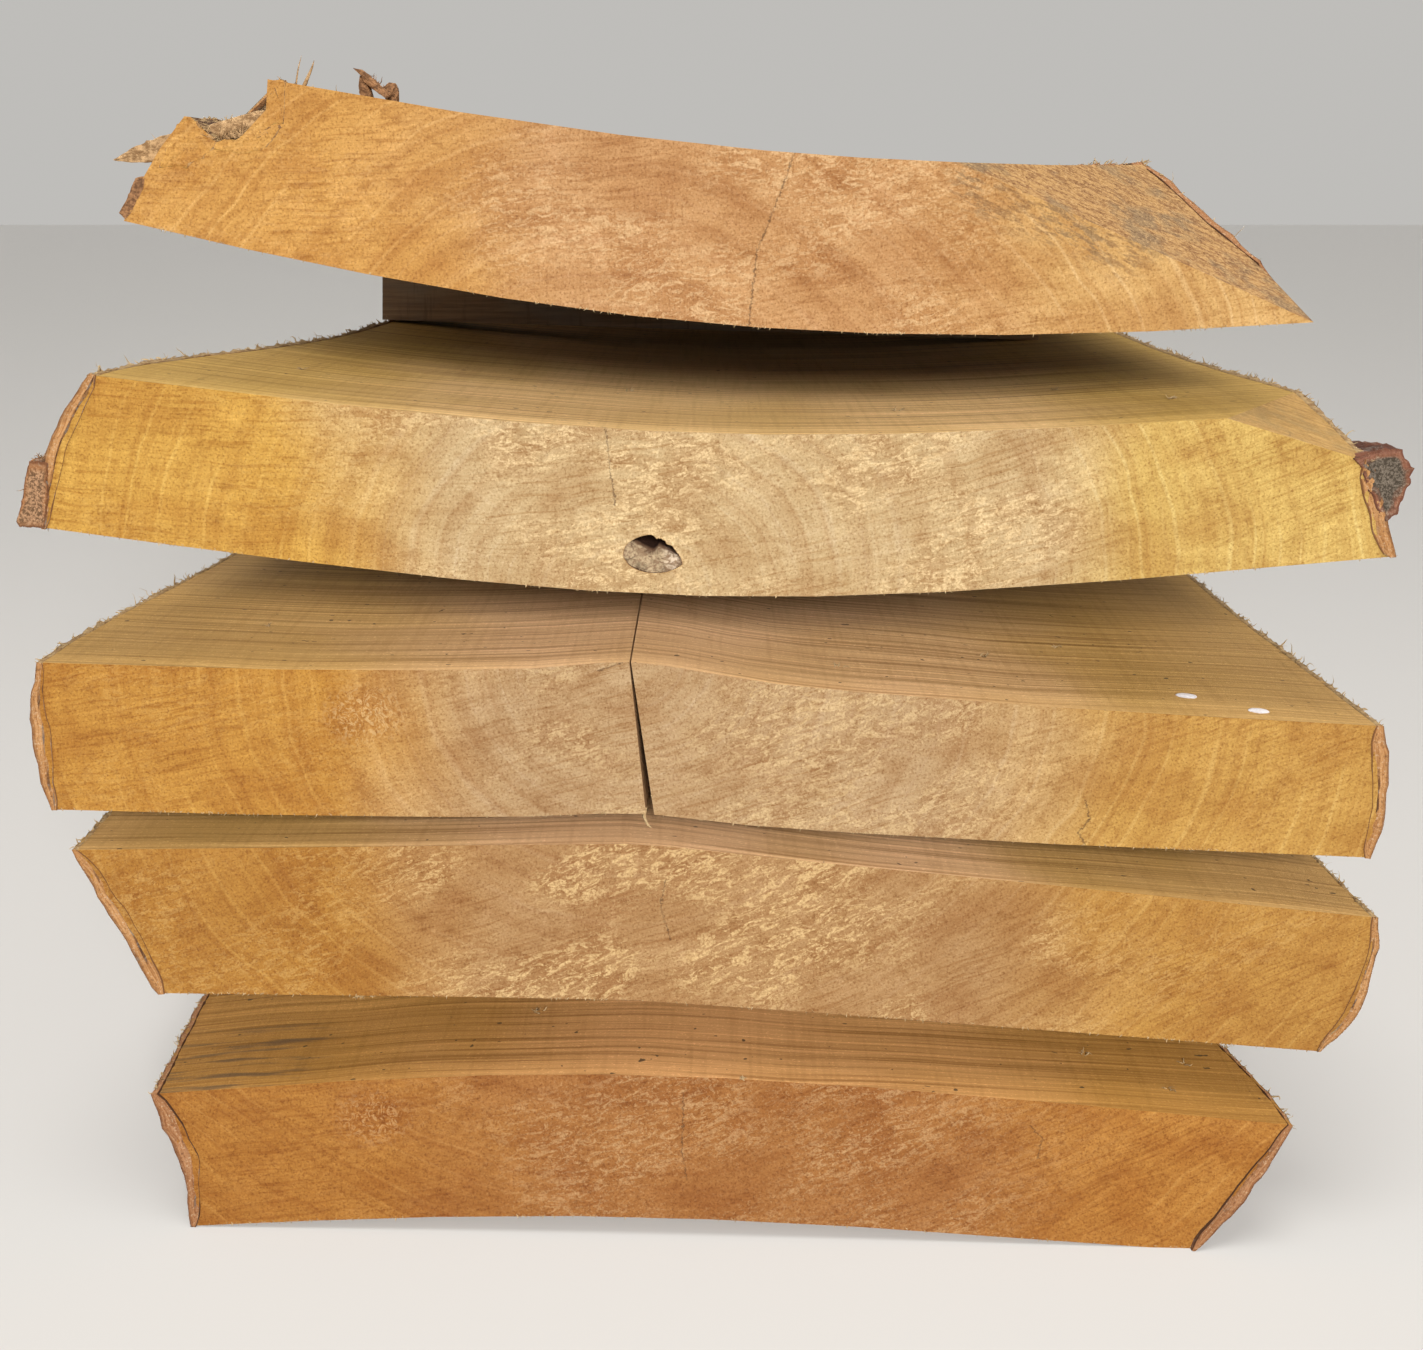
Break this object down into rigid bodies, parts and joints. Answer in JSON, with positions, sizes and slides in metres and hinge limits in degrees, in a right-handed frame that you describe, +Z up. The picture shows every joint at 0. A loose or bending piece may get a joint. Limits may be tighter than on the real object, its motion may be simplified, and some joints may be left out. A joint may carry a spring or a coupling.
{
  "type": "stack of lumber",
  "caption": "Stack of thick live-edge hardwood slabs sawn through and through from one log, kept in log order with thin wooden spacers between the slabs.",
  "frame": {"origin": "middle of the footprint, on the floor that the lowest slab lies on", "axes": "+X across the slabs to the right as seen from the sawn ends in the picture, +Y along the slabs away from those ends, +Z up"},
  "size_m": [0.4194, 2.0108, 0.3641],
  "materials": {
    "slab_wood": "rough sawn, orange sapwood and pinkish heart, undried",
    "spacer_wood": "rough sawn, weathered",
    "bark": "thin reddish brown bark, flaking"
  },
  "bodies": {
    "root": {"slab_1": "slab_wood", "slab_2": "slab_wood", "slab_3": "slab_wood", "slab_4": "slab_wood", "slab_5": "slab_wood", "spacer_1_2_row_1": "spacer_wood", "spacer_1_2_row_2": "spacer_wood", "spacer_1_2_row_3": "spacer_wood", "spacer_1_2_row_4": "spacer_wood", "spacer_2_3_row_1": "spacer_wood", "spacer_2_3_row_2": "spacer_wood", "spacer_2_3_row_3": "spacer_wood", "spacer_2_3_row_4": "spacer_wood", "spacer_3_4_row_1": "spacer_wood", "spacer_3_4_row_2": "spacer_wood", "spacer_3_4_row_3": "spacer_wood", "spacer_3_4_row_4": "spacer_wood", "spacer_4_5_row_1": "spacer_wood", "spacer_4_5_row_2": "spacer_wood", "spacer_4_5_row_3": "spacer_wood", "spacer_4_5_row_4": "spacer_wood"}
  },
  "joints": []
}
